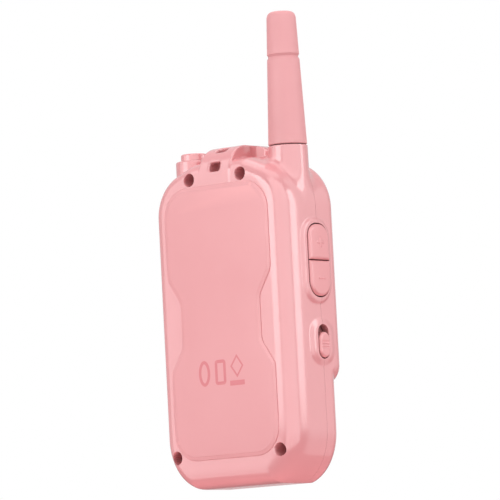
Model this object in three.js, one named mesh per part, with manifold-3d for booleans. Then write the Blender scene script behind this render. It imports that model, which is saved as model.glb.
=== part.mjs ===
// Toy walkie talkie: a hand-held two-way radio for children.
//
// Frame: millimetres. +Z runs up towards the antenna tip, +Y towards the rear face, +X to the right
// of someone who looks at the display. The origin is at the middle of the base.

import * as THREE from 'three';
import { mergeVertices } from 'three/addons/utils/BufferGeometryUtils.js';
import Module from 'manifold-3d';

const wasm = await Module();
wasm.setup();

// ---------------------------------------------------------------- driving dimensions

const GAP = 0.3; // clearance between neighbouring pieces

const BODY = {
  halfWidth: 28.8,
  rearY: 14.4,
  frontY: -11.0, // lower front face
  faceY: -14.4, // raised front face
  splitY: -3.2, // plane where the two shells meet
  wall: 1.8,
  rearEdge: { x: 4.5, y: 6.5 },
  frontEdge: { x: 4.8, y: 4.8 },
};

const FOOT = { x: 13.8, z: 17.3, rx: 15.0, rz: 18.0 }; // lower corner ellipse
const SHOULDER = { x: 13.6, z: 91.7, rx: 15.2, rz: 16.0, end: 1.212 }; // upper corner ellipse
const CROWN = { x: 12.6, z: 109.2, controlX: 11.0, topZ: 109.8 };

const FACE = { bottomZ: 32.0, corner: 7.0 }; // raised front face

const PANEL = {
  y: 14.9,
  wide: 22.8,
  narrow: 17.5,
  topZ: 101.0,
  topRadius: 10.0,
  upperZ: 71.0,
  waistTopZ: 62.5,
  waistBottomZ: 47.5,
  lowerZ: 39.5,
  bottomZ: 9.4,
  bottomRadius: 9.5,
  bevel: 1.2,
};

const LUG = { halfWidth: 7.0, y: 4.8, z: 104.6, radius: 9.5, floorZ: 100.5 };
const LANYARD = { halfWidth: 2.5, height: 3.4, lower: 0.27, upper: 1.09, inner: 5.0, outer: 7.7 };
const ARCH = { halfWidth: 14.0, frontY: -11.0, rearY: -0.6, baseZ: 107.0, sideZ: 111.4, topZ: 114.8 };

const ANTENNA = {
  x: -20.85,
  y: 0,
  baseRadius: 6.6,
  seamZ: 112.4,
  footRadius: 6.8,
  footZ: 92.0,
  sleeveRadius: 6.5,
  tipRadius: 4.85,
  tipZ: 157.6,
  grooveZ: 142.3,
  grooveDepth: 0.45,
  hollowRadius: 3.6,
  hollowZ: 150.4,
  boreRadius: 2.8,
};
const COIL = { radius: 2.7, wire: 0.45, turns: 7, bottomZ: 119.4, topZ: 147.6 };

const TORCH = {
  x: 20.85,
  y: 0,
  tierRadius: 6.3,
  tierZ: 111.6,
  seatZ: 109.4,
  ringRadius: 4.5,
  ringZ: 114.1,
  boreRadius: 3.2,
};

const SCREW = { headRadius: 1.8, shaftRadius: 0.95, headY: 3.0, headHeight: 1.6, tipY: -8.5 };
const POST = { radius: 3.4, boreRadius: 2.15, shaftRadius: 1.25, seatY: 2.7, pilotY: -8.9 };
const SCREW_PLACES = [
  [-11.3, 103.7],
  [11.3, 103.7],
  [-22.7, 10.9],
  [22.7, 10.9],
];

const BOSS_X = 29.4; // outer face of the raised rings on both sides
const PROUD_X = 30.2; // outer face of the talk key, of the power knob and of the volume symbols
const INNER_X = 23.0; // how far in the raised rings and the side openings reach
const RING_BEVEL = 0.6;
const VOLUME = { y: -2.7, half: 5.4, corner: 5.0, lowZ: 61.1, lowRun: 5.4, highRun: 4.6, highZ: 85.8 };
const VOLUME_BOSS = { y: -2.0, half: 7.4, corner: 7.0, lowZ: 58.8, lowRun: 7.6, highRun: 6.8, highZ: 87.8 };
const VOLUME_SPLIT_Z = 73.4;
const VOLUME_FACE_X = 30.0;
const PLUS_Z = 79.4;
const MINUS_Z = 67.5;
const SYMBOL = { y: -3.2, reach: 1.7, stroke: 0.4 };
const TALK = { y: -0.4, half: 6.2, lowZ: 60.8, lowRun: 9.5, highRun: 9.5, highZ: 81.8 };
const TALK_BOSS = { y: 0.2, half: 9.8, lowZ: 56.8, lowRun: 12.5, highRun: 12.5, highZ: 85.8 };
const TALK_Z = 71.3;
const POWER = { y: -3.2, half: 2.7, lowZ: 40.6, lowRun: 2.7, highRun: 2.7, highZ: 52.0 };
const POWER_BOSS = { y: -3.0, half: 6.3, lowZ: 38.2, lowRun: 5.4, highRun: 5.4, highZ: 54.4 };
const POWER_TRAVEL = 2.2;
const POWER_RIBS = { count: 4, pitch: 1.5, halfWidth: 1.5, halfHeight: 0.35 };
const KEY_CLEARANCE = 0.35;
const KEY_FLANGE = { x: 25.9, thickness: 0.6, grow: 0.5 };
const KEY_STEM = { frontY: -4.4, rearY: -2.0, halfHeight: 1.2 };
const SWITCH_X = 24.4; // tip of the small push switches behind the side keys

const BOARD = { halfWidth: 22.0, frontY: -6.6, rearY: -5.0, bottomZ: 15.5, topZ: 98.5 };
const LENS = {
  halfWidth: 18.0,
  z: 87.0,
  halfHeight: 11.0,
  corner: 3.0,
  frontY: -14.2,
  rearY: -13.25,
  ledge: 1.5,
};
const LCD = { halfWidth: 19.0, halfHeight: 11.5, frontY: -11.9, rearY: -10.5 };
const FRONT_KEYS = {
  z: 66.0,
  spacing: 12.5,
  halfWidth: 4.4,
  halfHeight: 3.1,
  callRadius: 4.8,
  topY: -14.9,
};
const SPEAKER = { z: 48.6, radius: 9.4, frontY: -11.9, rearY: -7.2, rim: 1.6 };
const MICROPHONE = { z: 27.5, radius: 2.6, holeRadius: 0.8 };
const GRILLE = { slots: 5, pitch: 3.2, halfHeight: 0.7, halfWidth: 9.0, narrowing: 0.45 };
const USB = { z: 24.0, y: -3.05, halfWidth: 4.5, halfHeight: 1.6, innerX: 20.5, outerX: 28.2 };
const BATTERY = { halfWidth: 17.0, frontY: 0.5, rearY: 9.5, bottomZ: 24.0, topZ: 70.0 };

// ---------------------------------------------------------------- solids and booleans

function toSolid(geometry) {
  const bare = geometry.clone();
  bare.deleteAttribute('normal');
  bare.deleteAttribute('uv');
  const merged = mergeVertices(bare, 1e-4);
  return new wasm.Manifold(new wasm.Mesh({
    numProp: 3,
    vertProperties: new Float32Array(merged.attributes.position.array),
    triVerts: new Uint32Array(merged.index.array),
  }));
}

function toGeometry(solid) {
  const mesh = solid.getMesh();
  const geometry = new THREE.BufferGeometry();
  geometry.setAttribute('position', new THREE.BufferAttribute(mesh.vertProperties, 3));
  geometry.setIndex(new THREE.BufferAttribute(mesh.triVerts, 1));
  const flat = geometry.toNonIndexed();
  flat.computeVertexNormals();
  return flat;
}

const join = (...solids) => solids.reduce((whole, piece) => whole.add(piece));

const cut = (solid, ...tools) => tools.reduce((left, tool) => left.subtract(tool), solid);

// A block between two opposite corners.
function block(low, high) {
  const size = high.map((value, axis) => value - low[axis]);
  const middle = high.map((value, axis) => (value + low[axis]) / 2);
  return toSolid(new THREE.BoxGeometry(...size).translate(...middle));
}

// A front-view (XZ) outline given depth along Y, with rounded edges of semi-axes edge.x and edge.y.
function slab(shape, frontY, rearY, { edge = null, inset = 0, curveSegments = 7, rings = 2 } = {}) {
  const rounding = edge ?? { x: 0, y: 0 };
  const geometry = new THREE.ExtrudeGeometry(shape, {
    depth: rearY - frontY - 2 * rounding.y,
    bevelEnabled: edge !== null || inset !== 0,
    bevelThickness: rounding.y,
    bevelSize: rounding.x,
    bevelOffset: -rounding.x - inset,
    bevelSegments: edge ? rings : 1,
    curveSegments,
  });
  return toSolid(geometry.translate(0, 0, rounding.y - rearY).rotateX(Math.PI / 2));
}

// A side-view (YZ) outline given depth along X.
function sidePlate(shape, lowX, highX, { bevel = 0, inset = 0, curveSegments = 8 } = {}) {
  const geometry = new THREE.ExtrudeGeometry(shape, {
    depth: highX - lowX - 2 * bevel,
    bevelEnabled: bevel !== 0 || inset !== 0,
    bevelThickness: bevel,
    bevelSize: bevel,
    bevelOffset: -bevel - inset,
    bevelSegments: bevel ? 2 : 1,
    curveSegments,
  });
  geometry.translate(0, 0, lowX + bevel);
  return toSolid(geometry.rotateX(Math.PI / 2).rotateZ(Math.PI / 2));
}

// A solid of revolution about a vertical axis through (x, y); the profile is [radius, height] points.
function turned(profile, x, y, segments = 24) {
  const points = profile.map(([radius, height]) => new THREE.Vector2(radius, height));
  const geometry = new THREE.LatheGeometry(points, segments).rotateX(Math.PI / 2).translate(x, y, 0);
  return toSolid(geometry);
}

// An upright cylinder or cone.
function post(x, y, lowZ, highZ, lowRadius, highRadius = lowRadius, segments = 24) {
  const geometry = new THREE.CylinderGeometry(highRadius, lowRadius, highZ - lowZ, segments);
  return toSolid(geometry.rotateX(Math.PI / 2).translate(x, y, (lowZ + highZ) / 2));
}

// A cylinder or cone that lies along Y.
function rod(x, z, frontY, rearY, frontRadius, rearRadius = frontRadius, segments = 16) {
  const geometry = new THREE.CylinderGeometry(rearRadius, frontRadius, rearY - frontY, segments);
  return toSolid(geometry.translate(x, (frontY + rearY) / 2, z));
}

// ---------------------------------------------------------------- outlines

function bodyOutline() {
  const shape = new THREE.Shape();
  const start = Math.asin(FOOT.z / FOOT.rz);
  shape.absellipse(FOOT.x, FOOT.z, FOOT.rx, FOOT.rz, -start, 0);
  shape.absellipse(SHOULDER.x, SHOULDER.z, SHOULDER.rx, SHOULDER.rz, 0, SHOULDER.end);
  shape.lineTo(CROWN.x, CROWN.z);
  shape.quadraticCurveTo(CROWN.controlX, CROWN.topZ, 0, CROWN.topZ);
  shape.quadraticCurveTo(-CROWN.controlX, CROWN.topZ, -CROWN.x, CROWN.z);
  shape.absellipse(-SHOULDER.x, SHOULDER.z, SHOULDER.rx, SHOULDER.rz, Math.PI - SHOULDER.end, Math.PI);
  shape.absellipse(-FOOT.x, FOOT.z, FOOT.rx, FOOT.rz, Math.PI, Math.PI + start);
  return shape;
}

function faceOutline() {
  const shape = new THREE.Shape();
  const cornerX = BODY.halfWidth - FACE.corner;
  const cornerZ = FACE.bottomZ + FACE.corner;
  shape.absarc(cornerX, cornerZ, FACE.corner, -Math.PI / 2, 0);
  shape.absellipse(SHOULDER.x, SHOULDER.z, SHOULDER.rx, SHOULDER.rz, 0, SHOULDER.end);
  shape.lineTo(CROWN.x, CROWN.z);
  shape.quadraticCurveTo(CROWN.controlX, CROWN.topZ, 0, CROWN.topZ);
  shape.quadraticCurveTo(-CROWN.controlX, CROWN.topZ, -CROWN.x, CROWN.z);
  shape.absellipse(-SHOULDER.x, SHOULDER.z, SHOULDER.rx, SHOULDER.rz, Math.PI - SHOULDER.end, Math.PI);
  shape.absarc(-cornerX, cornerZ, FACE.corner, Math.PI, 1.5 * Math.PI);
  return shape;
}

function panelOutline() {
  const shape = new THREE.Shape();
  const { wide, narrow, topRadius, bottomRadius } = PANEL;
  shape.absarc(wide - bottomRadius, PANEL.bottomZ + bottomRadius, bottomRadius, -Math.PI / 2, 0);
  shape.lineTo(wide, PANEL.lowerZ);
  shape.lineTo(narrow, PANEL.waistBottomZ);
  shape.lineTo(narrow, PANEL.waistTopZ);
  shape.lineTo(wide, PANEL.upperZ);
  shape.absarc(wide - topRadius, PANEL.topZ - topRadius, topRadius, 0, Math.PI / 2);
  shape.absarc(topRadius - wide, PANEL.topZ - topRadius, topRadius, Math.PI / 2, Math.PI);
  shape.lineTo(-wide, PANEL.upperZ);
  shape.lineTo(-narrow, PANEL.waistTopZ);
  shape.lineTo(-narrow, PANEL.waistBottomZ);
  shape.lineTo(-wide, PANEL.lowerZ);
  shape.absarc(bottomRadius - wide, PANEL.bottomZ + bottomRadius, bottomRadius, Math.PI, 1.5 * Math.PI);
  return shape;
}

// An upright track in the YZ plane: straight sides, and ends turned with quarter ellipses.
function trackOutline({ y, half, corner = half, lowZ, lowRun, highRun, highZ }, grow = 0) {
  const shape = new THREE.Shape();
  const front = y - half + corner;
  const rear = y + half - corner;
  const turn = Math.PI / 2;
  shape.absellipse(front, lowZ + lowRun, corner + grow, lowRun + grow, 2 * turn, 3 * turn);
  shape.absellipse(rear, lowZ + lowRun, corner + grow, lowRun + grow, 3 * turn, 4 * turn);
  shape.absellipse(rear, highZ - highRun, corner + grow, highRun + grow, 0, turn);
  shape.absellipse(front, highZ - highRun, corner + grow, highRun + grow, turn, 2 * turn);
  return shape;
}

function roundShape(x, z, radius) {
  const shape = new THREE.Shape();
  shape.absarc(x, z, radius, 0, Math.PI);
  shape.absarc(x, z, radius, Math.PI, 2 * Math.PI);
  return shape;
}

function roundedRectangle(x, z, halfWidth, halfHeight, radius) {
  const shape = new THREE.Shape();
  shape.absarc(x + halfWidth - radius, z - halfHeight + radius, radius, -Math.PI / 2, 0);
  shape.absarc(x + halfWidth - radius, z + halfHeight - radius, radius, 0, Math.PI / 2);
  shape.absarc(x - halfWidth + radius, z + halfHeight - radius, radius, Math.PI / 2, Math.PI);
  shape.absarc(x - halfWidth + radius, z - halfHeight + radius, radius, Math.PI, 1.5 * Math.PI);
  return shape;
}

function archOutline() {
  const shape = new THREE.Shape();
  shape.moveTo(ARCH.halfWidth, ARCH.baseZ);
  shape.lineTo(ARCH.halfWidth, ARCH.sideZ);
  shape.quadraticCurveTo(ARCH.halfWidth / 2, ARCH.topZ, 0, ARCH.topZ);
  shape.quadraticCurveTo(-ARCH.halfWidth / 2, ARCH.topZ, -ARCH.halfWidth, ARCH.sideZ);
  shape.lineTo(-ARCH.halfWidth, ARCH.baseZ);
  return shape;
}

// ---------------------------------------------------------------- casing

// Everything both shells share on the outside, before they are parted.
function outerBody() {
  const towers = join(
    post(ANTENNA.x, ANTENNA.y, ANTENNA.footZ, ANTENNA.seamZ, ANTENNA.footRadius, ANTENNA.baseRadius),
    post(TORCH.x, TORCH.y, ANTENNA.footZ, TORCH.tierZ, TORCH.tierRadius),
    slab(archOutline(), ARCH.frontY, ARCH.rearY),
  );
  const bosses = join(
    sidePlate(trackOutline(VOLUME_BOSS), -BOSS_X, -INNER_X, { bevel: RING_BEVEL }),
    sidePlate(trackOutline(POWER_BOSS), -BOSS_X, -INNER_X, { bevel: RING_BEVEL }),
    sidePlate(trackOutline(TALK_BOSS), INNER_X, BOSS_X, { bevel: RING_BEVEL }),
  );
  return join(towers, bosses);
}

// Key openings, the power slot, the charging port and the bores at the top.
function sharedOpenings() {
  const beyond = BOSS_X + 2;
  return join(
    sidePlate(trackOutline(VOLUME), -beyond, -INNER_X),
    sidePlate(trackOutline(POWER), -beyond, -INNER_X),
    sidePlate(trackOutline(TALK), INNER_X, beyond),
    block(
      [INNER_X, USB.y - USB.halfHeight - GAP, USB.z - USB.halfWidth - GAP],
      [beyond, USB.y + USB.halfHeight + GAP, USB.z + USB.halfWidth + GAP],
    ),
    post(ANTENNA.x, ANTENNA.y, ANTENNA.footZ, ANTENNA.seamZ + 2, ANTENNA.boreRadius),
    post(TORCH.x, TORCH.y, ANTENNA.footZ, TORCH.ringZ, TORCH.boreRadius),
    post(TORCH.x, TORCH.y, TORCH.seatZ, TORCH.ringZ + 1, TORCH.ringRadius + GAP),
  );
}

function lanyardLug() {
  const outline = new THREE.Shape();
  const floor = Math.asin((LUG.floorZ - LUG.z) / LUG.radius);
  outline.absarc(LUG.y, LUG.z, LUG.radius, floor, Math.PI - floor);
  return sidePlate(outline, -LUG.halfWidth, LUG.halfWidth, { curveSegments: 18 });
}

// The curved tunnel that a lanyard loop is threaded through, under a bar of the lug's skin.
function lanyardTunnel() {
  const { halfWidth, height, lower, upper, inner, outer } = LANYARD;
  const ring = new THREE.Shape();
  ring.absarc(LUG.y, LUG.z, outer, lower, upper);
  ring.absarc(LUG.y, LUG.z, inner, upper, lower, true);
  const mouths = [lower, upper].map((angle) => {
    const mouth = new THREE.BoxGeometry(2 * halfWidth, LUG.radius - inner + 2, height);
    mouth.translate(0, (LUG.radius + inner + 2) / 2, 0);
    mouth.rotateX(angle);
    return toSolid(mouth.translate(0, LUG.y, LUG.z));
  });
  return join(sidePlate(ring, -halfWidth, halfWidth), ...mouths);
}

function rearShell() {
  const start = BODY.splitY + GAP / 2;
  const keepRear = block([-50, start, -10], [50, 30, 130]);
  const skin = slab(bodyOutline(), -20, BODY.rearY, { edge: BODY.rearEdge });
  const hollow = slab(bodyOutline(), -30, BODY.rearY - BODY.wall, {
    edge: BODY.rearEdge,
    inset: BODY.wall,
    curveSegments: 5,
    rings: 2,
  });
  const panel = slab(panelOutline(), 8, PANEL.y, { edge: { x: PANEL.bevel, y: 0.5 }, rings: 1 });
  const posts = join(...SCREW_PLACES.map(([x, z]) => rod(x, z, start, BODY.rearY, POST.radius)));
  const bores = SCREW_PLACES.map(([x, z]) => join(
    rod(x, z, POST.seatY, BODY.rearY + 2, POST.boreRadius, POST.boreRadius, 20),
    rod(x, z, -10, POST.seatY + 1, POST.shaftRadius, POST.shaftRadius, 12),
  ));
  const outside = join(skin, panel, outerBody()).intersect(keepRear);
  const shell = join(cut(outside, hollow), lanyardLug().intersect(keepRear), posts.intersect(skin));
  return cut(shell, sharedOpenings(), lanyardTunnel(), ...bores);
}

function grilleSlots() {
  const slots = [];
  for (let index = 0; index < GRILLE.slots; index += 1) {
    const offset = (index - (GRILLE.slots - 1) / 2) * GRILLE.pitch;
    const halfWidth = GRILLE.halfWidth - Math.abs(offset) * GRILLE.narrowing;
    const z = SPEAKER.z + offset;
    const outline = roundedRectangle(0, z, halfWidth, GRILLE.halfHeight, GRILLE.halfHeight);
    slots.push(slab(outline, -20, -10, { curveSegments: 3 }));
  }
  return join(...slots);
}

function frontKeyOutline(index, grow = 0) {
  const { z, spacing, halfWidth, halfHeight, callRadius } = FRONT_KEYS;
  if (index === 0) {
    return roundShape(0, z, callRadius + grow);
  }
  return roundedRectangle(index * spacing, z, halfWidth + grow, halfHeight + grow, 2 + grow);
}

function frontShell() {
  const end = BODY.splitY - GAP / 2;
  const keepFront = block([-50, -30, -10], [50, end, 130]);
  const skin = join(
    slab(bodyOutline(), BODY.frontY, 20, { edge: BODY.frontEdge }),
    slab(faceOutline(), BODY.faceY, 20, { edge: BODY.frontEdge }),
  );
  const faceWall = 2.2;
  const hollow = join(
    slab(bodyOutline(), BODY.frontY + BODY.wall, 30, {
      edge: BODY.frontEdge,
      inset: BODY.wall,
      curveSegments: 5,
      rings: 2,
    }),
    slab(faceOutline(), BODY.faceY + faceWall, 30, {
      edge: BODY.frontEdge,
      inset: BODY.wall,
      curveSegments: 5,
      rings: 2,
    }),
  );
  const posts = SCREW_PLACES.map(([x, z]) => rod(x, z, z > 50 ? -13 : -10, end, POST.radius));
  const pilots = SCREW_PLACES.map(([x, z]) => (
    rod(x, z, POST.pilotY, 0, POST.shaftRadius, POST.shaftRadius, 12)
  ));
  const lensPocket = roundedRectangle(0, LENS.z, LENS.halfWidth + GAP, LENS.halfHeight + GAP, LENS.corner);
  const window = roundedRectangle(
    0,
    LENS.z,
    LENS.halfWidth - LENS.ledge,
    LENS.halfHeight - LENS.ledge,
    LENS.corner - 1,
  );
  const keyHoles = [-1, 0, 1].map((index) => slab(frontKeyOutline(index, KEY_CLEARANCE), -20, -10, {
    curveSegments: 5,
  }));
  const outside = join(skin, outerBody()).intersect(keepFront);
  const shell = join(cut(outside, hollow), ...posts);
  return cut(
    shell,
    sharedOpenings(),
    slab(lensPocket, -20, LENS.rearY + GAP, { curveSegments: 4 }),
    slab(window, -20, -10, { curveSegments: 3 }),
    grilleSlots(),
    rod(0, MICROPHONE.z, -20, -5, MICROPHONE.holeRadius, MICROPHONE.holeRadius, 10),
    ...keyHoles,
    ...pilots,
  );
}

// ---------------------------------------------------------------- keys and knob

// A side key: a cap that fills the opening, a flange that keeps it in, and a stem for the switch.
function sideKey(side, track, capX, stemZ) {
  const cap = trackOutline(track, -KEY_CLEARANCE);
  const flange = trackOutline(track, KEY_FLANGE.grow);
  const body = join(
    sidePlate(cap, KEY_FLANGE.x, capX, { bevel: 0.4 }),
    sidePlate(flange, KEY_FLANGE.x, KEY_FLANGE.x + KEY_FLANGE.thickness),
    block(
      [SWITCH_X + 0.9, KEY_STEM.frontY, stemZ - KEY_STEM.halfHeight],
      [KEY_FLANGE.x + 0.2, KEY_STEM.rearY, stemZ + KEY_STEM.halfHeight],
    ),
  );
  return side > 0 ? body : body.mirror([1, 0, 0]);
}

// One bar of a symbol on a volume key, centred at a height.
const symbolBar = (z, halfY, halfZ) => block(
  [-PROUD_X, SYMBOL.y - halfY, z - halfZ],
  [-PROUD_X + 1, SYMBOL.y + halfY, z + halfZ],
);

function volumeKey(isPlus) {
  const z = isPlus ? PLUS_Z : MINUS_Z;
  const low = isPlus ? VOLUME_SPLIT_Z + GAP / 2 : 50;
  const high = isPlus ? 95 : VOLUME_SPLIT_Z - GAP / 2;
  const half = block([-40, -20, low], [-20, 20, high]);
  const key = join(
    sideKey(-1, VOLUME, VOLUME_FACE_X, z).intersect(half),
    symbolBar(z, SYMBOL.reach, SYMBOL.stroke),
  );
  return isPlus ? join(key, symbolBar(z, SYMBOL.stroke, SYMBOL.reach)) : key;
}

function powerKnob() {
  const height = POWER.highZ - POWER.lowZ - POWER_TRAVEL - 2 * GAP;
  const low = POWER.lowZ + GAP;
  const grip = {
    y: POWER.y,
    half: POWER.half - GAP,
    lowZ: low,
    lowRun: POWER.lowRun - GAP,
    highRun: POWER.highRun - GAP,
    highZ: low + height,
  };
  const flange = { ...grip, half: 3.9, lowZ: low - 1.4, highZ: low + height + 1.4 };
  const inner = BODY.halfWidth - BODY.wall - GAP;
  const ribs = [];
  for (let index = 0; index < POWER_RIBS.count; index += 1) {
    const z = low + height / 2 + (index - (POWER_RIBS.count - 1) / 2) * POWER_RIBS.pitch;
    ribs.push(block(
      [-PROUD_X, POWER.y - POWER_RIBS.halfWidth, z - POWER_RIBS.halfHeight],
      [-PROUD_X + 1, POWER.y + POWER_RIBS.halfWidth, z + POWER_RIBS.halfHeight],
    ));
  }
  return join(
    sidePlate(trackOutline(grip), -PROUD_X + 0.3, -KEY_FLANGE.x, { bevel: 0.3, curveSegments: 6 }),
    sidePlate(trackOutline(flange), -inner, -KEY_FLANGE.x, { curveSegments: 6 }),
    ...ribs,
  );
}

function frontKey(index) {
  const { topY } = FRONT_KEYS;
  return join(
    slab(frontKeyOutline(index), topY, -11.4, { edge: { x: 0.5, y: 0.5 }, curveSegments: 4, rings: 1 }),
    slab(frontKeyOutline(index, 0.9), -11.9, -11.1, { curveSegments: 4 }),
  );
}

// ---------------------------------------------------------------- display, sound and light

const displayLens = () => slab(
  roundedRectangle(0, LENS.z, LENS.halfWidth, LENS.halfHeight, LENS.corner),
  LENS.frontY,
  LENS.rearY,
  { curveSegments: 5 },
);

const displayPanel = () => block(
  [-LCD.halfWidth, LCD.frontY, LENS.z - LCD.halfHeight],
  [LCD.halfWidth, LCD.rearY, LENS.z + LCD.halfHeight],
);

function displayTray() {
  const outer = block(
    [-LCD.halfWidth - 1, LCD.rearY + GAP, LENS.z - LCD.halfHeight - 0.8],
    [LCD.halfWidth + 1, BOARD.frontY - GAP, LENS.z + LCD.halfHeight + 0.8],
  );
  const recess = block(
    [-LCD.halfWidth + 2, LCD.rearY - 1, LENS.z - LCD.halfHeight + 2],
    [LCD.halfWidth - 2, LCD.rearY + 1.5, LENS.z + LCD.halfHeight - 2],
  );
  return cut(outer, recess);
}

function keypadMat() {
  const { z, spacing } = FRONT_KEYS;
  const pad = slab(roundedRectangle(0, z, 18.5, 6.5, 2), -8.6, BOARD.frontY - GAP, { curveSegments: 4 });
  const domes = [-1, 0, 1].map((index) => rod(index * spacing, z, -10.0, -8.5, 1.6, 2.6, 12));
  return join(pad, ...domes);
}

function speakerBasket() {
  const { z, radius, frontY, rearY, rim } = SPEAKER;
  const body = join(
    rod(0, z, frontY, frontY + rim, radius, radius, 24),
    rod(0, z, frontY + rim, rearY, radius, 6.5, 24),
  );
  return cut(body, rod(0, z, frontY - 1, rearY - 1.4, radius - 0.9, 5.6, 24));
}

const speakerCone = () => cut(
  rod(0, SPEAKER.z, SPEAKER.frontY + 0.6, SPEAKER.frontY + 2.2, 6.9, 3.9, 24),
  rod(0, SPEAKER.z, SPEAKER.frontY + 0.4, SPEAKER.frontY + 1.7, 6.6, 3.6, 24),
);

const microphone = () => join(
  rod(0, MICROPHONE.z, -8.8, -7.0, MICROPHONE.radius, MICROPHONE.radius, 20),
  rod(0, MICROPHONE.z, -9.0, -8.7, 1.0, 1.0, 12),
);

const torchRing = () => turned(
  [
    [3.4, TORCH.seatZ + GAP],
    [TORCH.ringRadius, TORCH.seatZ + GAP],
    [TORCH.ringRadius, TORCH.ringZ - 0.5],
    [TORCH.ringRadius - 0.5, TORCH.ringZ],
    [3.7, TORCH.ringZ],
    [3.4, TORCH.ringZ - 0.8],
    [3.4, TORCH.seatZ + GAP],
  ],
  TORCH.x,
  TORCH.y,
  28,
);

const torchLens = () => turned(
  [[0, 111.2], [3.05, 111.2], [3.05, 112.8], [2.2, 113.4], [0, 113.7]],
  TORCH.x,
  TORCH.y,
  20,
);

const torchLight = () => join(
  post(TORCH.x, TORCH.y, 103.5, 104.4, 2.8, 2.8, 20),
  post(TORCH.x, TORCH.y, 104.3, 108.2, 2.4, 2.4, 20),
  post(TORCH.x, TORCH.y, 108.1, 110.4, 2.4, 1.0, 20),
);

// ---------------------------------------------------------------- antenna

function antennaSleeve() {
  const { sleeveRadius, tipRadius, tipZ, grooveZ, grooveDepth, hollowRadius, hollowZ } = ANTENNA;
  const startZ = ANTENNA.seamZ + GAP;
  const radiusAt = (z) => sleeveRadius + (tipRadius - sleeveRadius) * (z - startZ) / (tipZ - startZ);
  return turned(
    [
      [0, hollowZ],
      [hollowRadius, hollowZ],
      [hollowRadius, startZ],
      [sleeveRadius, startZ],
      [radiusAt(grooveZ - 1), grooveZ - 1],
      [radiusAt(grooveZ) - grooveDepth, grooveZ],
      [radiusAt(grooveZ + 1), grooveZ + 1],
      [tipRadius, tipZ - 1.6],
      [tipRadius - 0.5, tipZ - 0.5],
      [tipRadius - 1.6, tipZ],
      [0, tipZ],
    ],
    ANTENNA.x,
    ANTENNA.y,
    32,
  );
}

class Helix extends THREE.Curve {
  getPoint(t, target = new THREE.Vector3()) {
    const angle = 2 * Math.PI * COIL.turns * t;
    return target.set(
      ANTENNA.x + COIL.radius * Math.cos(angle),
      ANTENNA.y + COIL.radius * Math.sin(angle),
      THREE.MathUtils.lerp(COIL.bottomZ, COIL.topZ, t),
    );
  }
}

function antennaCoil() {
  const section = new THREE.Shape().absarc(0, 0, COIL.wire, 0, 2 * Math.PI);
  return toSolid(new THREE.ExtrudeGeometry(section, {
    steps: COIL.turns * 9,
    extrudePath: new Helix(),
    curveSegments: 3,
  }));
}

const antennaStud = () => join(
  post(ANTENNA.x, ANTENNA.y, 97.0, 98.5, 3.2, 3.2, 6),
  post(ANTENNA.x, ANTENNA.y, 98.4, 117.5, 2.4, 2.4, 20),
  post(ANTENNA.x, ANTENNA.y, 117.4, 118.6, 3.1, 3.1, 20),
);

// ---------------------------------------------------------------- electronics

// The front-view outline of a part that has halfWidth, bottomZ and topZ.
function uprightOutline({ halfWidth, bottomZ, topZ }, radius) {
  return roundedRectangle(0, (bottomZ + topZ) / 2, halfWidth, (topZ - bottomZ) / 2, radius);
}

const mainBoard = () => slab(uprightOutline(BOARD, 3), BOARD.frontY, BOARD.rearY, { curveSegments: 4 });

const onBoard = (lowX, highX, lowZ, highZ, height) => block(
  [lowX, BOARD.rearY + GAP, lowZ],
  [highX, BOARD.rearY + GAP + height, highZ],
);

const radioShield = () => cut(
  onBoard(-13, 9, 74.5, 92, 3.2),
  block([-12.4, BOARD.rearY, 75.1], [8.4, BOARD.rearY + 2.6, 91.4]),
);

function pushSwitch(side, z) {
  const body = onBoard(20.0, 23.4, z - 3, z + 3, 3.0);
  const button = block([23.3, -4.1, z - 1.0], [SWITCH_X, -2.3, z + 1.0]);
  const whole = join(body, button);
  return side > 0 ? whole : whole.mirror([1, 0, 0]);
}

function powerSwitch() {
  const body = onBoard(-24.6, -20.6, 41.5, 51.5, 3.2);
  return cut(body, block([-30, -3.9, 43], [-23.6, -2.5, 50]));
}

function usbPort() {
  const { z, y, halfWidth, halfHeight, innerX, outerX } = USB;
  const shell = block(
    [innerX, y - halfHeight, z - halfWidth],
    [outerX, y + halfHeight, z + halfWidth],
  );
  const socket = block(
    [innerX + 1.5, y - halfHeight + 0.4, z - halfWidth + 0.4],
    [outerX + 1, y + halfHeight - 0.4, z + halfWidth - 0.4],
  );
  const tongue = block([innerX + 1, y - 0.35, z - 3.2], [outerX - 1, y + 0.35, z + 3.2]);
  return join(cut(shell, socket), tongue);
}

const batteryCell = () => slab(uprightOutline(BATTERY, 2), BATTERY.frontY, BATTERY.rearY, {
  edge: { x: 1.2, y: 1.2 },
  curveSegments: 3,
  rings: 2,
});

// A lead from the top of the battery over to the plug on the board.
function batteryLead(x) {
  const route = new THREE.CatmullRomCurve3([
    new THREE.Vector3(x, 4.5, BATTERY.topZ + GAP),
    new THREE.Vector3(x, 3.6, BATTERY.topZ + 2.2),
    new THREE.Vector3(x, 1.0, BATTERY.topZ + 3.0),
    new THREE.Vector3(x, -0.9, BATTERY.topZ + 1.6),
  ]);
  const section = new THREE.Shape().absarc(0, 0, 0.55, 0, 2 * Math.PI);
  return toSolid(new THREE.ExtrudeGeometry(section, { steps: 12, extrudePath: route, curveSegments: 4 }));
}

const batteryPlug = () => onBoard(11.5, 17.5, 66.5, 71.0, 3.2);

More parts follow.
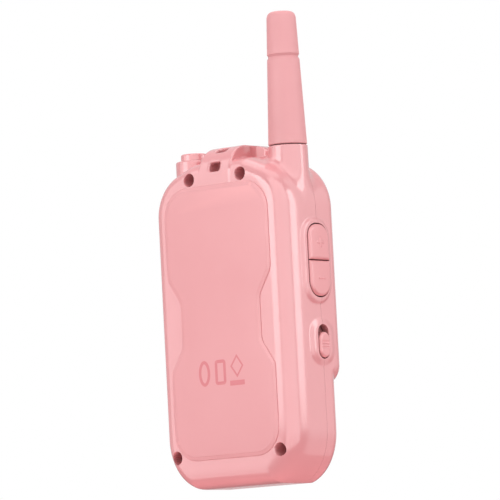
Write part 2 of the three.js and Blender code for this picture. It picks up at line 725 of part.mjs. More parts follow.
// A cross-head screw that is driven from the rear.
function shellScrew([x, z]) {
  const top = SCREW.headY + SCREW.headHeight;
  const body = join(
    rod(x, z, SCREW.headY, top, SCREW.headRadius),
    rod(x, z, SCREW.tipY + 1, SCREW.headY + 0.1, SCREW.shaftRadius, SCREW.shaftRadius, 12),
    rod(x, z, SCREW.tipY, SCREW.tipY + 1.1, 0.4, SCREW.shaftRadius, 12),
  );
  const cross = join(
    block([x - 1.1, top - 0.7, z - 0.25], [x + 1.1, top + 1, z + 0.25]),
    block([x - 0.25, top - 0.7, z - 1.1], [x + 0.25, top + 1, z + 1.1]),
  );
  return cut(body, cross);
}

// ---------------------------------------------------------------- materials and assembly

const finish = (color, roughness, metalness = 0) => (
  new THREE.MeshStandardMaterial({ color, roughness, metalness })
);

const MATERIALS = {
  gloss: finish(0xeeaaac, 0.25),
  key: finish(0xeca6a9, 0.4),
  soft: finish(0xe99fa3, 0.75),
  clear: finish(0xdfe6ea, 0.08),
  black: finish(0x1c1d20, 0.6),
  board: finish(0x1f6b3c, 0.5),
  metal: finish(0xb9bcc0, 0.35, 0.9),
  foil: finish(0x2f6fb5, 0.45),
  rubber: finish(0x8d9196, 0.85),
  copper: finish(0xb87333, 0.35, 0.9),
  red: finish(0xb3261e, 0.5),
};

const PIECES = [
  ['rear_shell', 'gloss', rearShell],
  ['front_shell', 'gloss', frontShell],
  ['plus_key', 'key', () => volumeKey(true)],
  ['minus_key', 'key', () => volumeKey(false)],
  ['talk_key', 'key', () => sideKey(1, TALK, PROUD_X, TALK_Z)],
  ['power_knob', 'key', powerKnob],
  ['menu_key', 'key', () => frontKey(-1)],
  ['call_key', 'key', () => frontKey(0)],
  ['light_key', 'key', () => frontKey(1)],
  ['keypad_mat', 'rubber', keypadMat],
  ['display_lens', 'clear', displayLens],
  ['display_panel', 'black', displayPanel],
  ['display_tray', 'rubber', displayTray],
  ['speaker_basket', 'metal', speakerBasket],
  ['speaker_cone', 'black', speakerCone],
  ['microphone', 'metal', microphone],
  ['torch_ring', 'gloss', torchRing],
  ['torch_lens', 'clear', torchLens],
  ['torch_light', 'clear', torchLight],
  ['antenna_sleeve', 'soft', antennaSleeve],
  ['antenna_coil', 'copper', antennaCoil],
  ['antenna_stud', 'metal', antennaStud],
  ['main_board', 'board', mainBoard],
  ['radio_shield', 'metal', radioShield],
  ['plus_switch', 'black', () => pushSwitch(-1, PLUS_Z)],
  ['minus_switch', 'black', () => pushSwitch(-1, MINUS_Z)],
  ['talk_switch', 'black', () => pushSwitch(1, TALK_Z)],
  ['power_switch', 'black', powerSwitch],
  ['usb_port', 'metal', usbPort],
  ['battery_cell', 'foil', batteryCell],
  ['battery_plug', 'rubber', batteryPlug],
  ['battery_lead_positive', 'red', () => batteryLead(13.0)],
  ['battery_lead_negative', 'black', () => batteryLead(15.6)],
  ...SCREW_PLACES.map((place, index) => [`screw_${index + 1}`, 'metal', () => shellScrew(place)]),
];

const walkieTalkie = new THREE.Group();
for (const [name, material, make] of PIECES) {
  const mesh = new THREE.Mesh(toGeometry(make()), MATERIALS[material]);
  mesh.name = name;
  walkieTalkie.add(mesh);
}

export default walkieTalkie;
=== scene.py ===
"""A toy walkie talkie: the finished surfaces, materials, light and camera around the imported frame.

Outlines and fields are worked out in millimetres in the row frame, and meshes are stored in metres.
A field is a function of x, y and z that is negative inside a solid and zero on its surface.
"""
import math

import bpy
import numpy as np
from mathutils import Matrix, Vector

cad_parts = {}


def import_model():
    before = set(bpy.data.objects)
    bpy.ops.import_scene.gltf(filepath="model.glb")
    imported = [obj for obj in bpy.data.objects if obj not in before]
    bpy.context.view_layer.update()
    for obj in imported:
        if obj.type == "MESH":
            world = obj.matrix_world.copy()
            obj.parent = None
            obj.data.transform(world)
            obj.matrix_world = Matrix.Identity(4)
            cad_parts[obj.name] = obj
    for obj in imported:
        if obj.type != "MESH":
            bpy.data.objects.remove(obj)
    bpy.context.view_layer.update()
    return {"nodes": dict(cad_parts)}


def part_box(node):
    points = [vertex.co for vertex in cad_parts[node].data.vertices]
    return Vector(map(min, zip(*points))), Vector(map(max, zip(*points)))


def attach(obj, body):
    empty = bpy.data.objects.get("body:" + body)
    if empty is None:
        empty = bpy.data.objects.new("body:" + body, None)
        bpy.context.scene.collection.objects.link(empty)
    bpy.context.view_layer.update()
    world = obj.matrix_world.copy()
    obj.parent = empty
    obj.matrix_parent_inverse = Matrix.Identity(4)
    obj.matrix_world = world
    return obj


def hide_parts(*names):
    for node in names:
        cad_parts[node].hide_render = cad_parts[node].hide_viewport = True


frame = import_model()

MM = 0.001


def corners(node):
    """Lowest and highest corner of a CAD node, in millimetres."""
    low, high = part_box(node)
    return np.array(low) / MM, np.array(high) / MM


# ---------------------------------------------------------------- driving dimensions

SLEEVE_LOW, SLEEVE_HIGH = corners("antenna_sleeve")
RING_LOW, RING_HIGH = corners("torch_ring")
REAR_HIGH = corners("rear_shell")[1]
LENS_LOW, LENS_HIGH = corners("display_lens")
TALK_HIGH_X = corners("talk_key")[1][0]

HALF_WIDTH = 28.8
REAR_Y = 14.4
FRONT_Y = -11.0
FACE_Y = -14.4
SPLIT_Y = -3.2
SPLIT_GAP = 0.07
OUTSIDE_LOW = (-50, -30, -20)
OUTSIDE_HIGH = (50, 30, 140)
WALL = 1.8
FACE_WALL = 2.2
REAR_EDGE = dict(ex=7.2, ey=12.0, power=3.4)
FRONT_EDGE = dict(ex=4.8, ey=4.8, power=2.0)

FOOT = (13.8, 17.3, 15.0, 18.0)
SHOULDER = (13.6, 91.7, 15.2, 16.0)
SHOULDER_END = 1.212
CROWN = ((12.6, 109.2), (11.0, 109.8), (0.0, 109.8))
FACE_BOTTOM_Z = 32.0
FACE_CORNER = 7.0

PANEL_Y = REAR_HIGH[1]
PANEL_BEVEL = 1.2
PANEL_WIDE, PANEL_NARROW = 22.8, 17.5
PANEL_LOW_Z, PANEL_LOW_CORNER = 9.4, 9.5
PANEL_HIGH_Z, PANEL_HIGH_CORNER = 101.0, 10.0
PANEL_EASE = 0.8

ANTENNA_X = (SLEEVE_LOW[0] + SLEEVE_HIGH[0]) / 2
TOWER_Y = (SLEEVE_LOW[1] + SLEEVE_HIGH[1]) / 2
SEAM_Z = SLEEVE_LOW[2] - 0.3
TORCH_X = (RING_LOW[0] + RING_HIGH[0]) / 2
TORCH_TIER_Z = 111.6
TORCH_SEAT_Z = 109.4
ANTENNA_BASE_RADIUS = 6.6
ANTENNA_BASE_TAPER = 0.012
TORCH_BASE_RADIUS = 6.3
ANTENNA_BORE_RADIUS = 2.8
TORCH_BORE_RADIUS = 3.2
TOWER_FOOT_Z = 88.0
TOWER_SINK = dict(z=98.0, slope=0.15)
ANTENNA_TIP = dict(radius=4.85, rounding=2.0)
ANTENNA_GROOVE = dict(z=142.3, half=0.85, depth=0.45)
ANTENNA_HOLLOW = dict(z=150.4, radius=3.6)

ARCH_FRONT_Y, ARCH_REAR_Y = -11.0, -0.6
ARCH_EDGE = 0.7
LUG = dict(y=4.8, z=104.6, radius=9.5, half_width=7.0)
LUG_EDGE = 0.6
LUG_FLARE = 4.5
LUG_ROOT_Z = 98.0
LUG_CORE = dict(half_width=4.6, z=101.5)
LANYARD = dict(half_width=2.3, height=3.2, lower=0.27, upper=1.09, inner=5.0, outer=7.7)

BOSS_X = REAR_HIGH[0]
INNER_X = 20
VOLUME = dict(y=-2.7, half=5.4, corner=5.0, low=61.1, low_run=5.4, high_run=4.6, high=85.8)
VOLUME_BOSS = dict(y=-2.0, half=7.4, corner=7.0, low=58.8, low_run=7.6, high_run=6.8, high=87.8)
TALK = dict(y=-0.4, half=6.2, low=60.8, low_run=9.5, high_run=9.5, high=81.8)
TALK_BOSS = dict(y=0.2, half=9.8, low=56.8, low_run=12.5, high_run=12.5, high=85.8)
POWER = dict(y=-3.2, half=2.7, low=40.6, low_run=2.7, high_run=2.7, high=52.0)
POWER_BOSS = dict(y=-3.0, half=6.3, low=38.2, low_run=5.4, high_run=5.4, high=54.4)
RING_DROP = 0.6
RING_LIP = dict(height=0.1, width=0.5)
VOLUME_SPLIT_Z = 73.4
SPLIT_HALF = 0.12
PLUS_Z, MINUS_Z = 79.4, 67.5
SYMBOL_Y = -3.2
SYMBOL = dict(long=1.7, thick=0.4, corner=0.3, relief=0.2)
KEY_TOP = BOSS_X + 0.75
KEY_GAP = 0.3
KEY_INNER_X = 25.9
KEY_LOW_Z, KEY_HIGH_Z = 50.0, 99.0
GRIP = dict(margin=1.4, half=2.55)
RIBS = dict(spacing=0.95, depth=0.16)
GRIP_PLATE = dict(x=-26.3, half_depth=0.35, half_width=3.7, below=1.2, above=2.6)

SCREW_PLACES = [(-11.3, 103.7), (11.3, 103.7), (-22.7, 10.9), (22.7, 10.9)]
POST_RADIUS = 3.4
POST_FRONT_Y, POST_REAR_Y = -9.0, 3.0
SHANK_RADIUS = 1.25
BORE_RADIUS = 2.15
BORE_FLOOR_Y = 2.7
PILOT_RADIUS = 1.2

FRONT_KEYS_Z = 66.0
FRONT_KEY_SPACING = 12.5
ROUND_KEY_RADIUS = 4.8
OUTER_KEY = dict(half_width=4.4, half_height=3.1, corner=2)
LENS_CORNER = 3.0
LENS_GAP = 0.12
LENS_LEDGE = 1.5
POCKET_FLOOR_Y = -12.95
SPEAKER_Z = 48.6
GRILLE = dict(spacing=3.2, half_width=8.6, narrowing=1.2, half_height=0.7, corner=0.69)
SOUND_HOLE_Z = 27.5
PORT = dict(y=-3.05, z=24.0, half_width=1.9, half_height=4.8, corner=1.2)

CASING_CELL = 0.385
HOLLOW_CELL = 1.1
SIDE_KEY_CELL = 0.19
GRIP_CELL = 0.18
FRONT_KEY_CELL = 0.24

AZIMUTH, ELEVATION, ROLL = 220.496, -5.062, -2.962
DISTANCE = 1.6071
TARGET = Vector((0.00047, -0.00280, 0.07966))
LENS_LENGTH = 343.9
DOME_BELOW, DOME_ABOVE = 0.12, 0.72
FLOOR_HALF = 2500
FLOOR_FADE = (0.06, 0.3)


# ---------------------------------------------------------------- outlines (two coordinates)

def arc(cx, cz, rx, rz, start, end, count=28):
    turn = np.linspace(start, end, count)
    return np.stack([cx + rx * np.cos(turn), cz + rz * np.sin(turn)], 1)


def curve(start, control, end, count=14):
    t = np.linspace(0, 1, count)[:, None]
    return (1 - t) ** 2 * np.array(start) + 2 * t * (1 - t) * np.array(control) + t ** 2 * np.array(end)


def mirrored(right):
    """Closes a right-hand half, listed from bottom to top, with its mirror image."""
    left = right[::-1] * np.array([-1.0, 1.0])
    return np.concatenate([right, left])


def crown_and_shoulder():
    return np.concatenate([arc(*SHOULDER, 0, SHOULDER_END), curve(*CROWN)])


def body_outline():
    start = math.asin(FOOT[1] / FOOT[3])
    return mirrored(np.concatenate([arc(*FOOT, -start, 0), crown_and_shoulder()]))


def face_outline():
    centre = (HALF_WIDTH - FACE_CORNER, FACE_BOTTOM_Z + FACE_CORNER)
    corner = arc(*centre, FACE_CORNER, FACE_CORNER, -math.pi / 2, 0, 16)
    return mirrored(np.concatenate([corner, crown_and_shoulder()]))


def panel_outline():
    """Wide at both ends and narrow at the waist, with a soft bend at each change of width."""
    wide, narrow = PANEL_WIDE, PANEL_NARROW
    low_corner, high_corner = PANEL_LOW_CORNER, PANEL_HIGH_CORNER
    low = arc(wide - low_corner, PANEL_LOW_Z + low_corner, low_corner, low_corner, -math.pi / 2, 0)
    bends = [curve((wide, 38.3), (wide, 39.5), (wide - PANEL_EASE, 40.7), 6)]
    bends += [curve((narrow + PANEL_EASE, 46.3), (narrow, 47.5), (narrow, 48.8), 6)]
    bends += [curve((narrow, 61.2), (narrow, 62.5), (narrow + PANEL_EASE, 63.8), 6)]
    bends += [curve((wide - PANEL_EASE, 69.7), (wide, 71.0), (wide, 72.3), 6)]
    high = arc(wide - high_corner, PANEL_HIGH_Z - high_corner, high_corner, high_corner, 0, math.pi / 2)
    return mirrored(np.concatenate([low, *bends, high]))


def track(y, half, low, low_run, high_run, high, corner=None, grow=0.0):
    """An upright track in y and z: straight sides, and ends turned with quarter ellipses."""
    corner = half if corner is None else corner
    inset = half - corner
    quarter = math.pi / 2
    ends = [(-1, low + low_run, low_run, 2), (1, low + low_run, low_run, 3),
            (1, high - high_run, high_run, 0), (-1, high - high_run, high_run, 1)]
    return np.concatenate([
        arc(y + side * inset, z, corner + grow, run + grow, turn * quarter, (turn + 1) * quarter, 22)
        for side, z, run, turn in ends
    ])


def rounded_box(cx, cz, half_width, half_height, radius, count=8):
    quarter = math.pi / 2
    centres = [(1, -1), (1, 1), (-1, 1), (-1, -1)]
    return np.concatenate([
        arc(cx + sx * (half_width - radius), cz + sz * (half_height - radius), radius, radius,
            (turn - 1) * quarter, turn * quarter, count)
        for turn, (sx, sz) in enumerate(centres)
    ])


def distance_to(outline, spacing=0.2, margin=4.0):
    """The signed distance to a closed outline, negative inside, as a function of two coordinates."""
    low = outline.min(0) - margin
    size = np.ceil((outline.max(0) + margin - low) / spacing).astype(int) + 1
    u = (low[0] + spacing * np.arange(size[0]))[:, None]
    v = (low[1] + spacing * np.arange(size[1]))[None, :]
    nearest = np.full(size, np.inf)
    inside = np.zeros(size, bool)
    for a, b in zip(outline, np.roll(outline, -1, 0)):
        side = b - a
        length = side @ side
        if length < 1e-12:
            continue
        along = np.clip(((u - a[0]) * side[0] + (v - a[1]) * side[1]) / length, 0, 1)
        nearest = np.minimum(nearest, (u - a[0] - along * side[0]) ** 2 + (v - a[1] - along * side[1]) ** 2)
        if a[1] != b[1]:
            crosses = ((a[1] > v) != (b[1] > v)) & (u < side[0] * (v - a[1]) / side[1] + a[0])
            inside ^= crosses
    table = np.where(inside, -1, 1) * np.sqrt(nearest)

    def lookup(p, q):
        s = np.clip((p - low[0]) / spacing, 0, size[0] - 1.001)
        t = np.clip((q - low[1]) / spacing, 0, size[1] - 1.001)
        i, j = s.astype(int), t.astype(int)
        s, t = s - i, t - j
        lower = table[i, j] * (1 - s) + table[i + 1, j] * s
        upper = table[i, j + 1] * (1 - s) + table[i + 1, j + 1] * s
        return lower * (1 - t) + upper * t

    return lookup


# ---------------------------------------------------------------- fields

def smooth_union(a, b, radius):
    mix = np.clip(0.5 + 0.5 * (b - a) / radius, 0, 1)
    return b * (1 - mix) + a * mix - radius * mix * (1 - mix)


def smooth_cut(a, tool, radius):
    return -smooth_union(-a, tool, radius)


def fillet_union(a, b, radius):
    """Joins two solids with a round fillet in the inner corner between them."""
    reach = np.hypot(np.maximum(radius - a, 0), np.maximum(radius - b, 0))
    return np.maximum(radius, np.minimum(a, b)) - reach


def rounded_slab(edge_distance, face_distance, ex, ey, power=2.0):
    """A plate whose rim is rounded: by ex across the outline and by ey across its thickness."""
    u = edge_distance + ex
    w = (face_distance + ey) * ex / ey
    outer = (np.maximum(u, 0) ** power + np.maximum(w, 0) ** power) ** (1 / power)
    return outer + np.minimum(np.maximum(u, w), 0) - ex


def step(low, high, value):
    t = np.clip((value - low) / (high - low), 0, 1)
    return t * t * (3 - 2 * t)


body_distance = distance_to(body_outline())
face_distance = distance_to(face_outline())
arch_distance = distance_to(mirrored(np.concatenate([
    [(0.0, 97.0), (13.0, 97.0), (14.5, 98.5), (14.5, 111.1), (14.0, 111.4)],
    curve((14.0, 111.4), (7.0, 114.8), (0.0, 114.8)),
])))
ring_distances = {
    name: distance_to(track(**ring), 0.15)
    for name, ring in dict(volume=VOLUME_BOSS, talk=TALK_BOSS, power=POWER_BOSS).items()
}


def tower(x, y, z, axis_x, radius, top, rim):
    """An upright round tower on the shoulder, with a rounded rim and a foot that sinks into the side."""
    sink = TOWER_SINK["slope"] * np.maximum(TOWER_SINK["z"] - z, 0)
    wall = np.hypot(x - axis_x, y - TOWER_Y) - radius + sink
    return np.maximum(rounded_slab(wall, z - top, rim, rim), TOWER_FOOT_Z - z)


def key_ring(x, y, z, side, name, slope):
    """The low raised ring around a side key: a flat crest with a soft outer slope."""
    outside = ring_distances[name](y, z)
    fall = np.clip(outside / slope + 1, 0, 1)
    crest = 0.5 * np.clip(1 - np.abs(outside / slope + 1) * slope / RING_LIP["width"], 0, 1) ** 2
    height = BOSS_X - RING_DROP * fall - RING_LIP["height"] * crest
    return np.maximum(np.maximum(side * x - height, outside), INNER_X - side * x)


def lanyard_tunnel(x, y, z):
    """The curved passage under the lug's bar, with a mouth at each end."""
    from_axis = np.hypot(y - LUG["y"], z - LUG["z"])
    angle = np.arctan2(z - LUG["z"], y - LUG["y"])
    half_height = LANYARD["height"] / 2
    across = np.abs(x) - LANYARD["half_width"]
    ring = np.maximum(from_axis - LANYARD["outer"], LANYARD["inner"] - from_axis)
    sweep = np.maximum(LANYARD["lower"] - angle, angle - LANYARD["upper"]) * 7
    passage = np.maximum(np.maximum(ring, sweep), across)
    rim = 0.9
    for mouth in (LANYARD["lower"], LANYARD["upper"]):
        out = (y - LUG["y"]) * math.cos(mouth) + (z - LUG["z"]) * math.sin(mouth)
        sideways = (z - LUG["z"]) * math.cos(mouth) - (y - LUG["y"]) * math.sin(mouth)
        u = np.maximum(np.abs(sideways) - half_height + rim, 0)
        v = np.maximum(across + rim, 0)
        opening = np.hypot(u, v) - rim
        passage = np.minimum(passage, np.maximum(opening, LANYARD["inner"] - out))
    return passage


def casing_field(x, y, z):
    """The outside of both shells together."""
    edge = body_distance(x, z)
    rear = rounded_slab(edge, y - REAR_Y, **REAR_EDGE)
    lower_front = rounded_slab(edge, FRONT_Y - y, **FRONT_EDGE)
    raised_front = rounded_slab(face_distance(x, z), FACE_Y - y, **FRONT_EDGE)
    body = np.maximum(rear, smooth_union(lower_front, raised_front, 0.8))

    wall = arch_distance(x, z)
    arch = rounded_slab(wall, np.maximum(ARCH_FRONT_Y - y, y - ARCH_REAR_Y), ARCH_EDGE, ARCH_EDGE)
    body = smooth_union(body, arch, 1.2)

    curl = np.hypot(np.maximum(y - LUG["y"], 0), np.maximum(z - LUG["z"], 0)) - LUG["radius"]
    flare = fillet_union(np.abs(x) - LUG["half_width"], y - ARCH_REAR_Y, LUG_FLARE)
    lug = rounded_slab(flare, curl, LUG_EDGE, LUG_EDGE)
    lug = np.maximum(np.maximum(lug, wall), np.maximum(LUG_ROOT_Z - z, ARCH_FRONT_Y - y))
    body = smooth_union(body, lug, 0.3)

    antenna_radius = ANTENNA_BASE_RADIUS + ANTENNA_BASE_TAPER * (SEAM_Z - z)
    body = smooth_union(body, tower(x, y, z, ANTENNA_X, antenna_radius, SEAM_Z, 0.25), 2.4)
    body = smooth_union(body, tower(x, y, z, TORCH_X, TORCH_BASE_RADIUS, TORCH_TIER_Z, 0.6), 1.4)

    body = smooth_union(body, key_ring(x, y, z, -1, "volume", 1.0), 0.1)
    body = smooth_union(body, key_ring(x, y, z, -1, "power", 2.0), 0.1)
    body = smooth_union(body, key_ring(x, y, z, 1, "talk", 2.4), 0.12)

    return smooth_cut(body, lanyard_tunnel(x, y, z), 0.7)


def screw_posts(x, z):
    return np.minimum.reduce([np.hypot(x - px, z - pz) - POST_RADIUS for px, pz in SCREW_PLACES])


def rear_hollow(x, y, z):
    """The room inside the rear shell, around the screw posts and under the lug's core."""
    room = rounded_slab(body_distance(x, z) + WALL, y - REAR_Y + WALL, **REAR_EDGE)
    lug_core = np.maximum(np.abs(x) - LUG_CORE["half_width"], LUG_CORE["z"] - z)
    solid = np.minimum(screw_posts(x, z), lug_core)
    return np.maximum(np.maximum(room, -solid), POST_FRONT_Y - y)


def front_hollow(x, y, z):
    """The room inside the front shell, around the screw posts."""
    lower = rounded_slab(body_distance(x, z) + WALL, FRONT_Y + WALL - y, **FRONT_EDGE)
    raised = rounded_slab(face_distance(x, z) + WALL, FACE_Y + FACE_WALL - y, **FRONT_EDGE)
    return np.maximum(np.maximum(np.minimum(lower, raised), -screw_posts(x, z)), y - POST_REAR_Y)


# ---------------------------------------------------------------- meshes

def new_object(name, points, faces):
    """A mesh object from points in millimetres and lists of corner numbers."""
    mesh = bpy.data.meshes.new(name)
    mesh.from_pydata((np.asarray(points) * MM).tolist(), [], [list(map(int, face)) for face in faces])
    mesh.update()
    piece = bpy.data.objects.new(name, mesh)
    bpy.context.scene.collection.objects.link(piece)
    return piece


def crossings(value, axis):
    """Where grid edges along an axis pass through the surface, and the four cells round each."""
    shape = np.array(value.shape)
    start = np.take(value, np.arange(shape[axis] - 1), axis)
    end = np.take(value, np.arange(1, shape[axis]), axis)
    found = np.argwhere((start < 0) != (end < 0))
    second, third = (axis + 1) % 3, (axis + 2) % 3
    for other in (second, third):
        found = found[(found[:, other] > 0) & (found[:, other] < shape[other] - 1)]
    a = start[tuple(found.T)]
    b = end[tuple(found.T)]
    place = found.astype(float)
    place[:, axis] += a / (a - b)
    around = []
    for shift_second, shift_third in ((0, 0), (-1, 0), (-1, -1), (0, -1)):
        cell = found.copy()
        cell[:, second] += shift_second
        cell[:, third] += shift_third
        around.append(np.ravel_multi_index(cell.T, shape - 1))
    around = np.stack(around, 1)
    around[a >= 0] = around[a >= 0][:, ::-1]
    return place, around


def settle(field, points, cell):
    """Moves points onto the field's surface."""
    reach = 0.08 * cell
    for _ in range(4):
        value = field(*points.T)
        slope = np.empty_like(points)
        for axis in range(3):
            offset = np.zeros(3)
            offset[axis] = reach
            slope[:, axis] = (field(*(points + offset).T) - field(*(points - offset).T)) / (2 * reach)
        size = np.maximum((slope ** 2).sum(1), 1e-4)
        move = slope * (value / size)[:, None]
        points = points - np.clip(move, -0.5 * cell, 0.5 * cell)
    return points


def sculpt(name, field, low, high, cell):
    """A closed mesh of the surface where a field is zero, inside a box."""
    axes = [np.arange(a, b + cell, cell) for a, b in zip(low, high)]
    value = field(axes[0][:, None, None], axes[1][None, :, None], axes[2][None, None, :])
    value = np.ascontiguousarray(np.broadcast_to(value, [len(axis) for axis in axes]))
    places, cells = zip(*[crossings(value, axis) for axis in range(3)])
    places = np.concatenate(places)
    cells = np.concatenate(cells)
    used, index = np.unique(cells, return_inverse=True)
    index = index.reshape(cells.shape)
    count = np.bincount(index.ravel(), minlength=len(used))
    points = np.stack([
        np.bincount(index.ravel(), np.repeat(places[:, axis], 4), len(used)) / count for axis in range(3)
    ], 1)
    points = settle(field, np.array(low) + points * cell, cell)
    return new_object(name, points, index)


def offset_outline(outline, grow):
    """Moves a closed counter-clockwise outline outwards by the same amount all round."""
    ahead = np.roll(outline, -1, 0) - outline
    ahead /= np.maximum(np.linalg.norm(ahead, axis=1, keepdims=True), 1e-9)
    behind = np.roll(ahead, 1, 0)
    normal = np.stack([ahead[:, 1] + behind[:, 1], -ahead[:, 0] - behind[:, 0]], 1)
    normal /= np.maximum((normal ** 2).sum(1, keepdims=True) / 2, 0.25)
    return outline + grow * normal


def distinct(outline):
    outline = np.asarray(outline, float)
    gap = np.linalg.norm(outline - np.roll(outline, 1, 0), axis=1)
    return outline[gap > 1e-4]


def loft(name, outline, axis, rings):
    """A closed solid that follows an outline along an axis; each ring is (place on the axis, growth)."""
    outline = distinct(outline)
    count = len(outline)
    points = []
    for place, grow in rings:
        flat = offset_outline(outline, grow)
        points.append(np.insert(flat, axis, place, 1))
    faces = []
    for ring in range(len(rings) - 1):
        for k in range(count):
            n = (k + 1) % count
            faces.append((ring * count + k, ring * count + n, (ring + 1) * count + n, (ring + 1) * count + k))
    faces.append(range(count - 1, -1, -1))
    faces.append(range((len(rings) - 1) * count, len(rings) * count))
    if axis == 1:
        faces = [list(face)[::-1] for face in faces]
    return new_object(name, np.concatenate(points), faces)


def round_loft(name, centre, axis, rings, count=40):
    """A round solid along an axis; each ring is (place on the axis, radius)."""
    outline = arc(*centre, 1, 1, 0, 2 * math.pi, count + 1)[:-1]
    return loft(name, outline, axis, [(place, radius - 1) for place, radius in rings])


def lathe(name, profile, x, y, segments=72):
    """A solid of revolution about an upright axis; the profile runs from axis to axis."""
    turn = np.linspace(0, 2 * math.pi, segments, endpoint=False)
    inner = profile[1:-1]
    points = [(x, y, profile[0][1]), (x, y, profile[-1][1])]
    for radius, height in inner:
        points += [(x + radius * math.cos(t), y + radius * math.sin(t), height) for t in turn]
    faces = []
    for k in range(segments):
        n = (k + 1) % segments
        faces.append((0, 2 + n, 2 + k))
        last = 2 + (len(inner) - 1) * segments
        faces.append((1, last + k, last + n))
        for ring in range(len(inner) - 1):
            base = 2 + ring * segments
            faces.append((base + k, base + n, base + segments + n, base + segments + k))
    return new_object(name, points, faces)


def cut(piece, tools):
    """Cuts tools from a piece and removes them."""
    for tool in tools:
        change = piece.modifiers.new("cut", "BOOLEAN")
        change.solver = "MANIFOLD"
        change.operation = "DIFFERENCE"
        change.object = tool
        bpy.context.view_layer.update()
        depsgraph = bpy.context.evaluated_depsgraph_get()
        result = bpy.data.meshes.new_from_object(piece.evaluated_get(depsgraph))
        piece.modifiers.clear()
        piece.data = result
        bpy.data.objects.remove(tool)
    piece.data.name = piece.name


def finish_piece(piece, material, body, slot, *nodes, sharp=38):
    """Shades a piece, gives it its material, and puts it on its CAD body."""
    mesh = piece.data
    mesh.materials.clear()
    mesh.materials.append(material)
    mesh.shade_smooth()
    mesh.set_sharp_from_angle(angle=math.radians(sharp))
    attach(piece, body)
    if nodes:
        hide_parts(*nodes)


def slab_between(name, low, high):
    """A plain block, used only as a cutting tool."""
    outline = np.array([(low[0], low[2]), (high[0], low[2]), (high[0], high[2]), (low[0], high[2])])
    return loft(name, outline, 1, [(low[1], 0), (high[1], 0)])


# ---------------------------------------------------------------- materials

def noise(nodes, links, source, scale, detail=3.0, roughness=0.5):
    texture = nodes.new("ShaderNodeTexNoise")
    texture.inputs["Scale"].default_value = scale
    texture.inputs["Detail"].default_value = detail
    texture.inputs["Roughness"].default_value = roughness
    links.new(source, texture.inputs["Vector"])
    return texture.outputs["Fac"]


def ranged(nodes, links, source, low, high, from_low=0.3, from_high=0.7):
    remap = nodes.new("ShaderNodeMapRange")
    remap.inputs["From Min"].default_value = from_low
    remap.inputs["From Max"].default_value = from_high
    remap.inputs["To Min"].default_value = low
    remap.inputs["To Max"].default_value = high
    links.new(source, remap.inputs["Value"])
    return remap.outputs["Result"]


def mix_colours(nodes, links, factor, first, second):
    mix = nodes.new("ShaderNodeMix")
    mix.data_type = "RGBA"
    for socket, value in (("A", first), ("B", second)):
        target = [s for s in mix.inputs if s.name == socket and s.type == "RGBA"][0]
        if isinstance(value, tuple):
            target.default_value = (*value, 1)
        else:
            links.new(value, target)
    links.new(factor, mix.inputs["Factor"])
    return [s for s in mix.outputs if s.type == "RGBA"][0]


def surface(name, light, dark, worn, roughness, blotch=60.0, grain=2200.0, bump=0.05,
            painted_shade=None, **constants):
    """A moulded or finished surface: soft colour variation, worn edges, uneven gloss and a fine grain.

    Painted shade, where a colour for it is given, darkens deep recesses, gaps and creases through an ambient
    occlusion mask. Constants go to the shader's own sockets.
    """
    material = bpy.data.materials.new(name)
    material.use_nodes = True
    nodes, links = material.node_tree.nodes, material.node_tree.links
    shader = nodes["Principled BSDF"]
    place = nodes.new("ShaderNodeTexCoord").outputs["Object"]
    geometry = nodes.new("ShaderNodeNewGeometry")

    cloud = ranged(nodes, links, noise(nodes, links, place, blotch), 0, 1)
    colour = mix_colours(nodes, links, cloud, light, dark)
    edges = ranged(nodes, links, geometry.outputs["Pointiness"], 0, 0.6, 0.52, 0.62)
    colour = mix_colours(nodes, links, edges, colour, worn)
    # painted shade: where ambient occlusion finds a recess, gap or crease, the colour is darkened towards the
    # dark shade colour
    if painted_shade:
        depth = nodes.new("ShaderNodeAmbientOcclusion")
        depth.samples = 6
        depth.inputs["Distance"].default_value = PAINTED_SHADE_REACH
        recess_shade = ranged(nodes, links, depth.outputs["AO"], 0.97, 0.0, 0.08, 0.44)
        colour = mix_colours(nodes, links, recess_shade, colour, painted_shade)
    links.new(colour, shader.inputs["Base Color"])

    smear = noise(nodes, links, place, blotch * 5, 5.0, 0.6)
    links.new(ranged(nodes, links, smear, roughness[0], roughness[1]), shader.inputs["Roughness"])

    fine = noise(nodes, links, place, grain, 2.0)
    relief = nodes.new("ShaderNodeBump")
    relief.inputs["Strength"].default_value = bump
    relief.inputs["Distance"].default_value = GRAIN_DEPTH
    links.new(fine, relief.inputs["Height"])
    links.new(relief.outputs["Normal"], shader.inputs["Normal"])
    for socket, value in constants.items():
        shader.inputs[socket.replace("_", " ")].default_value = value
    return material


# painted shade: the reach of the occlusion mask and the dark colour it paints into recesses, gaps and creases
PAINTED_SHADE_REACH = 0.004
GRAIN_DEPTH = 0.00005
PINK = (0.735, 0.310, 0.325)
PINK_DARK = (0.725, 0.298, 0.312)
PINK_WORN = (0.810, 0.345, 0.358)
PAINTED_SHADE = (0.085, 0.043, 0.040)

